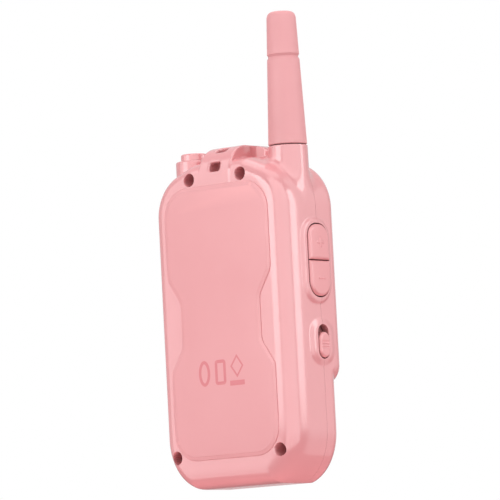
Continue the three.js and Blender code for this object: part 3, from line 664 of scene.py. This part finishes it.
gloss = surface("gloss_pink_plastic", PINK, PINK_DARK, PINK_WORN, (0.15, 0.21),
                painted_shade=PAINTED_SHADE, Coat_Weight=0.35, Coat_Roughness=0.06)
satin = surface("satin_pink_plastic", (0.702, 0.294, 0.308), (0.692, 0.284, 0.297), PINK_WORN, (0.34, 0.42),
                grain=3500.0, bump=0.12, painted_shade=PAINTED_SHADE)
key_plastic = surface("key_pink_plastic", (0.735, 0.288, 0.303), (0.725, 0.277, 0.29), PINK_WORN,
                      (0.20, 0.27), grain=3000.0, bump=0.08, painted_shade=PAINTED_SHADE, Coat_Weight=0.25,
                      Coat_Roughness=0.08)
soft_pink = surface("soft_pink_sleeve", (0.695, 0.295, 0.308), (0.675, 0.281, 0.293), (0.74, 0.34, 0.35),
                    (0.50, 0.62), grain=2600.0, bump=0.2, Sheen_Weight=0.15, Sheen_Roughness=0.4)
mark_pink = surface("mark_pink_print", (0.62, 0.155, 0.18), (0.60, 0.145, 0.17), (0.66, 0.2, 0.22),
                    (0.4, 0.5), grain=3500.0, bump=0.1)
black = surface("black_plastic", (0.02, 0.02, 0.022), (0.03, 0.03, 0.032), (0.07, 0.07, 0.07), (0.4, 0.55))
white = surface("white_plastic", (0.75, 0.75, 0.73), (0.7, 0.7, 0.68), (0.82, 0.82, 0.8), (0.35, 0.5))
steel = surface("plated_steel", (0.60, 0.60, 0.61), (0.5, 0.5, 0.51), (0.75, 0.75, 0.75), (0.22, 0.38),
                grain=4000.0, bump=0.12, Metallic=1.0)
grey_rubber = surface("grey_rubber", (0.2, 0.21, 0.22), (0.17, 0.18, 0.19), (0.26, 0.27, 0.28), (0.6, 0.75),
                      bump=0.2)
brass_wire = surface("spring_wire", (0.66, 0.42, 0.18), (0.58, 0.36, 0.15), (0.75, 0.52, 0.25), (0.2, 0.35),
                     Metallic=1.0)
green_board = surface("green_board", (0.01, 0.11, 0.035), (0.006, 0.08, 0.025), (0.3, 0.35, 0.2), (0.25, 0.4),
                      blotch=400.0)
blue_wrap = surface("blue_wrap", (0.02, 0.12, 0.4), (0.016, 0.1, 0.34), (0.1, 0.25, 0.5), (0.2, 0.35),
                    blotch=120.0)
red_wire = surface("red_wire", (0.5, 0.02, 0.015), (0.42, 0.016, 0.012), (0.6, 0.1, 0.08), (0.35, 0.5))
lens_clear = surface("clear_lens", (0.93, 0.95, 0.96), (0.9, 0.93, 0.95), (1, 1, 1), (0.03, 0.07), bump=0.01,
                     Transmission_Weight=1.0, IOR=1.49)


# ---------------------------------------------------------------- casing

def build_shells():
    """Both casing halves: one outside, split at the seam, and hollowed out."""
    low = (-HALF_WIDTH - 2, FACE_Y - 1.5, -1.5)
    high = (HALF_WIDTH + 2, REAR_Y + 2, 117)
    whole = sculpt("casing", casing_field, low, high, CASING_CELL)
    rear = bpy.data.objects.new("rear_casing", whole.data.copy())
    front = bpy.data.objects.new("front_casing", whole.data.copy())
    for shell in (rear, front):
        bpy.context.scene.collection.objects.link(shell)
    bpy.data.objects.remove(whole)
    half_gap = SPLIT_GAP / 2
    ahead = (OUTSIDE_HIGH[0], SPLIT_Y + half_gap, OUTSIDE_HIGH[2])
    behind = (OUTSIDE_LOW[0], SPLIT_Y - half_gap, OUTSIDE_LOW[2])
    cut(rear, [slab_between("front_half", OUTSIDE_LOW, ahead)])
    cut(front, [slab_between("rear_half", behind, OUTSIDE_HIGH)])
    inner_low = (-HALF_WIDTH, FACE_Y, 0)
    inner_high = (HALF_WIDTH, REAR_Y, 112)
    cut(rear, [sculpt("hollow", rear_hollow, inner_low, inner_high, HOLLOW_CELL)])
    cut(front, [sculpt("hollow", front_hollow, inner_low, inner_high, HOLLOW_CELL)])
    return rear, front


def rear_panel():
    """The raised satin panel: a low step at its outline, a gentle slope, and a crisp crest."""
    root, foot = (REAR_Y - 0.6, 0), (REAR_Y + 0.1, 0)
    edge = [(REAR_Y + 0.2, -0.04), (REAR_Y + 0.27, -0.12), (REAR_Y + 0.3, -0.25)]
    crest = [(PANEL_Y - drop, -PANEL_BEVEL - inset) for drop, inset in ((0.08, 0), (0.02, 0.1), (0, 0.3))]
    return loft("rear_panel", panel_outline(), 1, [root, foot, *edge, *crest])


def side_opening(shape, side):
    """A key opening through the side wall, with a slightly eased rim."""
    rings = [(INNER_X, 0), (BOSS_X - 0.25, 0), (BOSS_X - 0.05, 0.06), (BOSS_X + 0.6, 0.5)]
    if side < 0:
        rings = [(-place, grow) for place, grow in rings][::-1]
    return loft("opening", track(**shape), 0, rings)


def shared_openings():
    """Openings that the seam runs through, cut from both halves: side keys, port, antenna and torch."""
    tools = [side_opening(VOLUME, -1), side_opening(POWER, -1), side_opening(TALK, 1)]
    port = rounded_box(PORT["y"], PORT["z"], PORT["half_width"], PORT["half_height"], PORT["corner"])
    port_rings = [(23, 0), (HALF_WIDTH - 0.3, 0), (HALF_WIDTH, 0.15), (30, 1.0)]
    tools.append(loft("opening", port, 0, port_rings))
    below, above = 90, 118
    bore = ANTENNA_BORE_RADIUS
    tools.append(round_loft("opening", (ANTENNA_X, TOWER_Y), 2, [(below, bore), (SEAM_Z + 3, bore)]))
    seat = (RING_HIGH[0] - RING_LOW[0]) / 2 + 0.2
    tools.append(round_loft("opening", (TORCH_X, TOWER_Y), 2, [
        (below, TORCH_BORE_RADIUS), (TORCH_SEAT_Z, TORCH_BORE_RADIUS), (TORCH_SEAT_Z + 0.01, seat),
        (TORCH_TIER_Z - 0.2, seat), (TORCH_TIER_Z + 0.1, seat + 0.15), (above, seat + 2.8),
    ]))
    return tools


def rear_bores():
    """Deep counterbores for the shell screws, each with an eased rim."""
    rings = [(-10, SHANK_RADIUS), (BORE_FLOOR_Y, SHANK_RADIUS), (BORE_FLOOR_Y + 0.01, BORE_RADIUS)]
    rings += [(REAR_Y - 0.9, BORE_RADIUS), (REAR_Y - 0.4, 2.2), (REAR_Y - 0.1, 2.34), (16, 3.4)]
    return [round_loft("bore", place, 1, rings) for place in SCREW_PLACES]


def front_cuts():
    """The lens pocket and window, sound hole, front key holes, grille slots and screw pilots."""
    lens_half = (LENS_HIGH - LENS_LOW) / 2
    lens_z = (LENS_LOW[2] + LENS_HIGH[2]) / 2
    pocket = rounded_box(0, lens_z, lens_half[0] + LENS_GAP, lens_half[2] + LENS_GAP, LENS_CORNER)
    window = rounded_box(0, lens_z, lens_half[0] - LENS_LEDGE, lens_half[2] - LENS_LEDGE, LENS_CORNER - 1)
    outside, inside = (-20, 2.5), (-8, 0)
    hole = [(-20, 3), (-11.05, 0.95), (-10.8, 0.8), (-5, 0.8)]
    tools = [
        loft("pocket", pocket, 1, [outside, (FACE_Y - 0.1, 0.3), (FACE_Y + 0.25, 0), (POCKET_FLOOR_Y, 0)]),
        loft("window", window, 1, [(-20, 0), inside]),
        round_loft("sound_hole", (0, SOUND_HOLE_Z), 1, hole, 20),
    ]
    for index in (-1, 0, 1):
        rings = [outside, (FACE_Y - 0.1, 0.35), (FACE_Y + 0.3, 0), inside]
        tools.append(loft("key_hole", front_key_outline(index, KEY_GAP), 1, rings))
    for index in range(-2, 3):
        half_width = GRILLE["half_width"] - abs(index) * GRILLE["narrowing"]
        slot_z = SPEAKER_Z + index * GRILLE["spacing"]
        slot = rounded_box(0, slot_z, half_width, GRILLE["half_height"], GRILLE["corner"])
        tools.append(loft("slot", slot, 1, [outside, (FACE_Y - 0.1, 0.3), (FACE_Y + 0.35, 0), inside]))
    for place in SCREW_PLACES:
        pilot = [(POST_FRONT_Y + 0.1, PILOT_RADIUS), (POST_REAR_Y, PILOT_RADIUS)]
        tools.append(round_loft("pilot", place, 1, pilot, 20))
    return tools


# ---------------------------------------------------------------- keys

def front_key_outline(index, grow=0.0):
    """The middle key is round and the outer two are rounded boxes."""
    if index == 0:
        radius = ROUND_KEY_RADIUS + grow
        return arc(0, FRONT_KEYS_Z, radius, radius, 0, 2 * math.pi, 49)[:-1]
    half_width, half_height = OUTER_KEY["half_width"] + grow, OUTER_KEY["half_height"] + grow
    corner = OUTER_KEY["corner"] + grow
    return rounded_box(index * FRONT_KEY_SPACING, FRONT_KEYS_Z, half_width, half_height, corner)


def stroke(u, v, half_u, half_v, radius):
    """A rounded bar in two coordinates."""
    a = np.maximum(np.abs(u) - half_u + radius, 0)
    b = np.maximum(np.abs(v) - half_v + radius, 0)
    return np.hypot(a, b) - radius


def side_key(name, side, shape, top, low_z, high_z, symbol=None, symbol_z=0.0):
    """A side key's cap: a nearly flat face with a rounded rim, and a raised symbol on it."""
    outline = dict(shape, y=shape["y"] - 0.1, half=shape["half"] + 0.1)
    long, thick, corner = SYMBOL["long"], SYMBOL["thick"], SYMBOL["corner"]
    edge = distance_to(track(**outline, grow=-KEY_GAP), 0.12, 2.0)
    middle_z = (shape["low"] + shape["high"]) / 2
    half_z = (shape["high"] - shape["low"]) / 2

    def field(x, y, z):
        rim = np.maximum(edge(y, z), np.maximum(low_z - z, z - high_z))
        crown = 0.1 * (((y - shape["y"]) / shape["half"]) ** 2 + ((z - middle_z) / half_z) ** 4)
        face = side * x - (top - crown)
        cap = np.maximum(rounded_slab(rim, face, 1.1, 0.8), KEY_INNER_X - side * x)
        if symbol:
            bar = stroke(y - SYMBOL_Y, z - symbol_z, long, thick, corner)
            if symbol == "plus":
                bar = np.minimum(bar, stroke(y - SYMBOL_Y, z - symbol_z, thick, long, corner))
            relief = rounded_slab(bar, face - SYMBOL["relief"], 0.15, 0.15)
            cap = np.minimum(cap, np.maximum(relief, -face - 1))
        return cap

    reach = shape["half"] + 1
    ends = sorted([side * 25.0, side * (top + 1)])
    low = (ends[0], shape["y"] - reach, max(low_z, shape["low"]) - 1)
    high = (ends[1], shape["y"] + reach, min(high_z, shape["high"]) + 1)
    return sculpt(name, field, low, high, SIDE_KEY_CELL)


def power_knob():
    """The slide's grip, with rounded sides and four cross ribs, on a plate that closes the slot behind it."""
    low, high = corners("power_knob")
    bottom, top = low[2] + GRIP["margin"], high[2] - GRIP["margin"]
    middle = (bottom + top) / 2
    half = GRIP["half"]
    shape = dict(y=POWER["y"], half=half, low=bottom, low_run=half, high_run=half, high=top)
    edge = distance_to(track(**shape), 0.1, 2.0)

    def field(x, y, z):
        wave = 0.5 - 0.5 * np.cos(2 * math.pi * (z - middle) / RIBS["spacing"])
        ribbed = step(1.45, 1.4, np.abs(z - middle)) * step(1.9, 1.5, np.abs(y - shape["y"]))
        face = -x - (-low[0] - RIBS["depth"] * ribbed * (1 - wave))
        grip = rounded_slab(edge(y, z), face, 0.8, 0.8)
        depth = np.abs(x - GRIP_PLATE["x"]) - GRIP_PLATE["half_depth"]
        plate = np.maximum(depth, np.abs(y - shape["y"]) - GRIP_PLATE["half_width"])
        ends = np.maximum(bottom - GRIP_PLATE["below"] - z, z - top - GRIP_PLATE["above"])
        plate = np.maximum(plate, ends)
        return np.minimum(np.maximum(grip, x - GRIP_PLATE["x"] - GRIP_PLATE["half_depth"]), plate)

    reach = GRIP_PLATE["half_width"] + 0.5
    box_low = (low[0] - 0.8, POWER["y"] - reach, bottom - 2)
    box_high = (-25.0, POWER["y"] + reach, top + 3.2)
    return sculpt("power_grip", field, box_low, box_high, GRIP_CELL)


def front_key(name, index):
    """A front key's cap, with a shallow dish in its middle."""
    edge = distance_to(front_key_outline(index), 0.12, 2.0)
    top = corners(name)[0][1]

    def field(x, y, z):
        dish = 0.18 * np.exp(-((x - index * FRONT_KEY_SPACING) ** 2 + (z - FRONT_KEYS_Z) ** 2) / 6.0)
        return np.maximum(rounded_slab(edge(x, z), top + dish - y, 0.7, 0.5), y + 11.1)

    centre = index * FRONT_KEY_SPACING
    return sculpt(name + "_cap", field, (centre - 6, top - 0.8, FRONT_KEYS_Z - 6),
                  (centre + 6, -10.4, FRONT_KEYS_Z + 6), FRONT_KEY_CELL)


# ---------------------------------------------------------------- antenna, torch, display

def antenna_sleeve():
    """The soft tapered sleeve, with its groove and rounded tip."""
    base_z, tip_z = SLEEVE_LOW[2], SLEEVE_HIGH[2]
    base_radius = (SLEEVE_HIGH[0] - SLEEVE_LOW[0]) / 2
    tip_radius, rounding = ANTENNA_TIP["radius"], ANTENNA_TIP["rounding"]
    groove_z, groove_half, groove_depth = ANTENNA_GROOVE["z"], ANTENNA_GROOVE["half"], ANTENNA_GROOVE["depth"]
    hollow_z, hollow_radius = ANTENNA_HOLLOW["z"], ANTENNA_HOLLOW["radius"]

    def radius(z):
        return base_radius + (tip_radius - base_radius) * (z - base_z) / (tip_z - base_z)

    profile = [(0, hollow_z), (hollow_radius, hollow_z - 0.4), (hollow_radius, base_z)]
    profile += [(base_radius - 0.25, base_z), (base_radius, base_z + 0.25)]
    for z in np.linspace(base_z + 3, groove_z - groove_half - 0.2, 14):
        profile.append((radius(z), z))
    for z in np.linspace(-1, 1, 13):
        profile.append((radius(groove_z) - groove_depth * (1 - abs(z)) ** 0.8, groove_z + groove_half * z))
    for z in np.linspace(groove_z + groove_half + 0.2, tip_z - rounding, 6):
        profile.append((radius(z), z))
    tip = arc(tip_radius - rounding, tip_z - rounding, rounding, rounding, 0, math.pi / 2, 12)
    profile += [tuple(point) for point in tip[1:]]
    profile += [(1.4, tip_z), (0, tip_z)]
    return lathe("antenna_cover", profile, ANTENNA_X, TOWER_Y, 96)


def torch_ring():
    """The ring around the torch lens: rounded outside and bevelled inside."""
    outer = (RING_HIGH[0] - RING_LOW[0]) / 2
    top, bottom = RING_HIGH[2], RING_LOW[2]
    rounded = arc(outer - 0.6, top - 0.6, 0.6, 0.6, 0, math.pi / 2, 8)
    inner = [(3.75, top), (3.5, top - 0.2), (3.3, top - 0.8), (3.3, bottom)]
    outline = np.array([(outer, bottom), *rounded, *inner])
    turn = np.linspace(0, 2 * math.pi, 72, endpoint=False)
    points = [(TORCH_X + r * math.cos(t), TOWER_Y + r * math.sin(t), z) for r, z in outline for t in turn]
    count, rings = len(turn), len(outline)
    faces = [
        (i * count + k, i * count + (k + 1) % count, (i + 1) % rings * count + (k + 1) % count,
         (i + 1) % rings * count + k)
        for i in range(rings) for k in range(count)
    ]
    return new_object("torch_rim", points, faces)


def torch_lens():
    """A low clear dome on a short round foot."""
    radius, foot_z, dome_z, rise = 3.1, 111.3, 112.2, 1.2
    dome = arc(0, dome_z, radius, rise, 0, math.pi / 2, 10)[:-1]
    profile = [(0, foot_z), (radius, foot_z), *dome, (0, dome_z + rise)]
    return lathe("torch_window", profile, TORCH_X, TOWER_Y, 48)


def display_lens():
    """The clear window over the display, with an eased front edge."""
    half = (LENS_HIGH - LENS_LOW) / 2
    middle = (LENS_HIGH + LENS_LOW) / 2
    outline = rounded_box(0, middle[2], half[0], half[2], LENS_CORNER, 12)
    rings = [(LENS_LOW[1], -0.5), (LENS_LOW[1] + 0.12, -0.15), (LENS_LOW[1] + 0.35, 0), (LENS_HIGH[1], 0)]
    return loft("display_window", outline, 1, rings)


def rear_marks():
    """Generic printed shapes on the rear panel: a ring, a rounded box, a diamond and a bar."""
    shapes = {
        "mark_ring": (arc(8.1, 38.2, 2.5, 4.3, 0, 2 * math.pi, 49)[:-1], 1.1),
        "mark_square": (rounded_box(1.0, 38.2, 2.4, 4.2, 1.2), 1.1),
        "mark_diamond": (np.array([(-6.3, 35.9), (-3.4, 39.8), (-6.3, 43.7), (-9.2, 39.8)]), 0.6),
        "mark_bar": (rounded_box(-6.2, 34.2, 3.2, 0.85, 0.2), None),
    }
    marks = []
    for name, (outline, width) in shapes.items():
        mark = loft(name, outline, 1, [(PANEL_Y - 0.1, 0), (PANEL_Y + 0.02, 0)])
        if width:
            hole = loft("hole", outline, 1, [(PANEL_Y - 1, -width), (PANEL_Y + 1, -width)])
            cut(mark, [hole])
        marks.append(mark)
    return marks


# ---------------------------------------------------------------- assembly

rear, front = build_shells()
cut(rear, shared_openings() + rear_bores())
cut(front, shared_openings() + front_cuts())
finish_piece(rear, gloss, "casing", "gloss_shell", "rear_shell")
finish_piece(rear_panel(), satin, "casing", "gloss_shell", sharp=12)
finish_piece(front, gloss, "casing", "gloss_shell", "front_shell")

plus = side_key("plus_cap", -1, VOLUME, KEY_TOP, VOLUME_SPLIT_Z + SPLIT_HALF, KEY_HIGH_Z, "plus", PLUS_Z)
minus = side_key("minus_cap", -1, VOLUME, KEY_TOP, KEY_LOW_Z, VOLUME_SPLIT_Z - SPLIT_HALF, "minus", MINUS_Z)
talk = side_key("talk_cap", 1, TALK, TALK_HIGH_X, KEY_LOW_Z, KEY_HIGH_Z)
finish_piece(plus, key_plastic, "plus_key", "key_plastic", "plus_key")
finish_piece(minus, key_plastic, "minus_key", "key_plastic", "minus_key")
finish_piece(talk, key_plastic, "talk_key", "key_plastic", "talk_key")
finish_piece(power_knob(), key_plastic, "power_knob", "key_plastic", "power_knob")
for index, name in ((-1, "menu_key"), (0, "call_key"), (1, "light_key")):
    finish_piece(front_key(name, index), key_plastic, name, "key_plastic", name)

finish_piece(antenna_sleeve(), soft_pink, "casing", "soft_sleeve", "antenna_sleeve")
finish_piece(torch_ring(), gloss, "casing", "gloss_shell", "torch_ring")
finish_piece(torch_lens(), lens_clear, "casing", "clear_lens", "torch_lens")
finish_piece(display_lens(), lens_clear, "casing", "clear_lens", "display_lens")
for mark in rear_marks():
    finish_piece(mark, mark_pink, "casing", "key_plastic")

CARRIED = {
    black: ["display_panel", "speaker_basket", "speaker_cone", "plus_switch", "minus_switch",
            "talk_switch", "power_switch", "battery_lead_negative"],
    white: ["display_tray", "battery_plug"],
    steel: ["microphone", "antenna_stud", "radio_shield", "usb_port",
            "screw_1", "screw_2", "screw_3", "screw_4"],
    grey_rubber: ["keypad_mat"],
    brass_wire: ["antenna_coil"],
    green_board: ["main_board"],
    blue_wrap: ["battery_cell"],
    red_wire: ["battery_lead_positive"],
    lens_clear: ["torch_light"],
}
for material, names in CARRIED.items():
    for name in names:
        node = frame["nodes"][name]
        node.data.materials.clear()
        node.data.materials.append(material)


# ---------------------------------------------------------------- floor, light and camera

def floor():
    """A plain pale floor that shows only from above and fades into the white surround."""
    square = [(x * FLOOR_HALF, y * FLOOR_HALF, 0) for x, y in ((-1, -1), (1, -1), (1, 1), (-1, 1))]
    plane = new_object("floor", square, [(0, 1, 2, 3)])
    material = bpy.data.materials.new("pale_floor")
    material.use_nodes = True
    nodes, links = material.node_tree.nodes, material.node_tree.links
    shader = nodes["Principled BSDF"]
    shader.inputs["Base Color"].default_value = (0.88, 0.88, 0.88, 1)
    shader.inputs["Roughness"].default_value = 0.8
    clear = nodes.new("ShaderNodeBsdfTransparent")
    mix = nodes.new("ShaderNodeMixShader")
    geometry = nodes.new("ShaderNodeNewGeometry")
    distance = nodes.new("ShaderNodeVectorMath")
    distance.operation = "LENGTH"
    links.new(geometry.outputs["Position"], distance.inputs[0])
    unseen = nodes.new("ShaderNodeMath")
    unseen.operation = "MAXIMUM"
    links.new(geometry.outputs["Backfacing"], unseen.inputs[0])
    fade = ranged(nodes, links, distance.outputs["Value"], 0.0, 1.0, *FLOOR_FADE)
    links.new(fade, unseen.inputs[1])
    links.new(unseen.outputs["Value"], mix.inputs["Fac"])
    links.new(shader.outputs["BSDF"], mix.inputs[1])
    links.new(clear.outputs["BSDF"], mix.inputs[2])
    links.new(mix.outputs["Shader"], nodes["Material Output"].inputs["Surface"])
    plane.data.materials.append(material)
    plane.visible_diffuse = False
    plane.visible_glossy = False
    plane.visible_transmission = False
    plane.visible_shadow = False


def world():
    """A white surround: full white to the camera, and as light a soft dome that is dimmer below."""
    setting = bpy.data.worlds.new("white_surround")
    bpy.context.scene.world = setting
    setting.use_nodes = True
    nodes, links = setting.node_tree.nodes, setting.node_tree.links
    shown = nodes["Background"]
    shown.inputs["Color"].default_value = (1, 1, 1, 1)
    shown.inputs["Strength"].default_value = 1.0
    height = nodes.new("ShaderNodeSeparateXYZ")
    links.new(nodes.new("ShaderNodeTexCoord").outputs["Generated"], height.inputs["Vector"])
    dome = ranged(nodes, links, height.outputs["Z"], DOME_BELOW, DOME_ABOVE, -0.2, 0.0)
    lighting = nodes.new("ShaderNodeBackground")
    lighting.inputs["Color"].default_value = (1, 1, 1, 1)
    links.new(dome, lighting.inputs["Strength"])
    mix = nodes.new("ShaderNodeMixShader")
    links.new(nodes.new("ShaderNodeLightPath").outputs["Is Camera Ray"], mix.inputs["Fac"])
    links.new(lighting.outputs["Background"], mix.inputs[1])
    links.new(shown.outputs["Background"], mix.inputs[2])
    links.new(mix.outputs["Shader"], nodes["World Output"].inputs["Surface"])


def view_direction(azimuth, elevation):
    a, e = math.radians(azimuth), math.radians(elevation)
    return Vector((-math.sin(a) * math.cos(e), math.cos(a) * math.cos(e), -math.sin(e)))


def camera():
    ahead = view_direction(AZIMUTH, ELEVATION)
    level = ahead.cross(Vector((0, 0, 1))).normalized()
    upright = level.cross(ahead)
    roll = math.radians(ROLL)
    right = level * math.cos(roll) + upright * math.sin(roll)
    up = upright * math.cos(roll) - level * math.sin(roll)
    data = bpy.data.cameras.new("camera")
    data.lens = LENS_LENGTH
    data.sensor_width = 36
    data.clip_start = 0.01
    data.clip_end = 20
    eye = bpy.data.objects.new("camera", data)
    bpy.context.scene.collection.objects.link(eye)
    turned = Matrix((right, up, -ahead)).transposed().to_4x4()
    eye.matrix_world = Matrix.Translation(TARGET - ahead * DISTANCE) @ turned
    bpy.context.scene.camera = eye


def area_lamp(name, width, height, radiance):
    """An area light of even brightness, whatever its size, that the camera doesn't see."""
    data = bpy.data.lights.new(name, "AREA")
    data.shape = "RECTANGLE"
    data.size = width
    data.size_y = height
    data.energy = radiance * math.pi * width * height
    lamp = bpy.data.objects.new(name, data)
    bpy.context.scene.collection.objects.link(lamp)
    lamp.visible_camera = False
    return lamp


def soft_box(name, left, right, low_z, high_z, distance, radiance, fill=False):
    """An upright box between two angles, in degrees from the camera's side.

    A fill lights matt surfaces only, and any other box only shows as a reflection.
    """
    middle = math.radians(AZIMUTH + (left + right) / 2)
    width = 2 * distance * math.tan(math.radians(abs(right - left) / 2))
    lamp = area_lamp(name, width, high_z - low_z, radiance)
    lamp.visible_diffuse = fill
    lamp.visible_glossy = not fill
    out = Vector((math.sin(middle), -math.cos(middle), 0))
    place = out * distance + Vector((0, 0, (low_z + high_z) / 2))
    sideways = Vector((0, 0, 1)).cross(out)
    turned = Matrix((sideways, Vector((0, 0, 1)), out)).transposed().to_4x4()
    lamp.matrix_world = Matrix.Translation(place) @ turned


def level_box(name, size, height, radiance, gloss, colour):
    """A square box level with the floor, above the object or, at a negative height, below it."""
    lamp = area_lamp(name, size, size, radiance)
    lamp.data.color = colour
    lamp.visible_glossy = gloss
    lamp.location = (0, 0, height)
    lamp.rotation_euler = (0 if height > 0 else math.pi, 0, 0)


floor()
world()
camera()
soft_box("box_front", -36, 70, -0.6, 2.3, 1.25, 2.7)
soft_box("box_left", -77, -41, 0.072, 0.56, 1.0, 5.6)
soft_box("box_right", 74, 92, 0.072, 0.70, 1.0, 5.2)
soft_box("box_far_left", -102, -78, -0.5, 1.2, 1.0, 2.2)
soft_box("box_far_right", 93, 112, -0.5, 1.2, 1.0, 1.0)
soft_box("fill_left", -80, -25, -0.5, 1.4, 1.4, 1.38, fill=True)
soft_box("fill_right", 35, 90, -0.5, 1.4, 1.4, 1.3, fill=True)
level_box("box_top", 1.1, 1.2, 1.5, True, (1, 1, 1))
level_box("bounce_low", 1.6, -0.9, 2.15, False, (1, 0.72, 0.72))
bpy.context.scene.view_settings.view_transform = "Standard"
bpy.context.scene.view_settings.look = "None"
